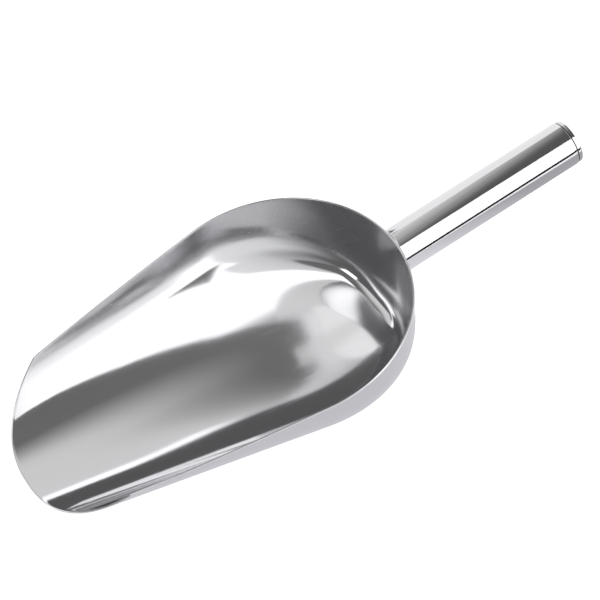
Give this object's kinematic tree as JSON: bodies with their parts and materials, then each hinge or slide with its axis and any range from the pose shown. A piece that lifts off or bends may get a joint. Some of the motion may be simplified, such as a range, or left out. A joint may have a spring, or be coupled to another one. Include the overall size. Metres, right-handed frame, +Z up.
{
  "type": "ice scoop",
  "caption": "Polished steel ice scoop: a round-backed trough with a slanted open mouth, and a straight round tube handle closed by a turned end cap.",
  "frame": {"origin": "middle of the whole scoop's length, on its plane of symmetry, at the level of the keel line that rests on a counter", "axes": "+X from the mouth towards the handle, +Z up out of the open bowl, +Y across; the XZ plane is the plane of symmetry"},
  "size_m": [0.3328, 0.144, 0.0636],
  "materials": {
    "bowl_steel": "mirror-polished stainless steel sheet",
    "tube_steel": "mirror-polished stainless steel tube",
    "weld_steel": "weld ground and polished over",
    "cap_steel": "turned and polished stainless steel"
  },
  "bodies": {
    "root": {"scoop_bowl": "bowl_steel", "handle_tube": "tube_steel", "handle_weld": "weld_steel", "handle_end_cap": "cap_steel"}
  },
  "joints": []
}
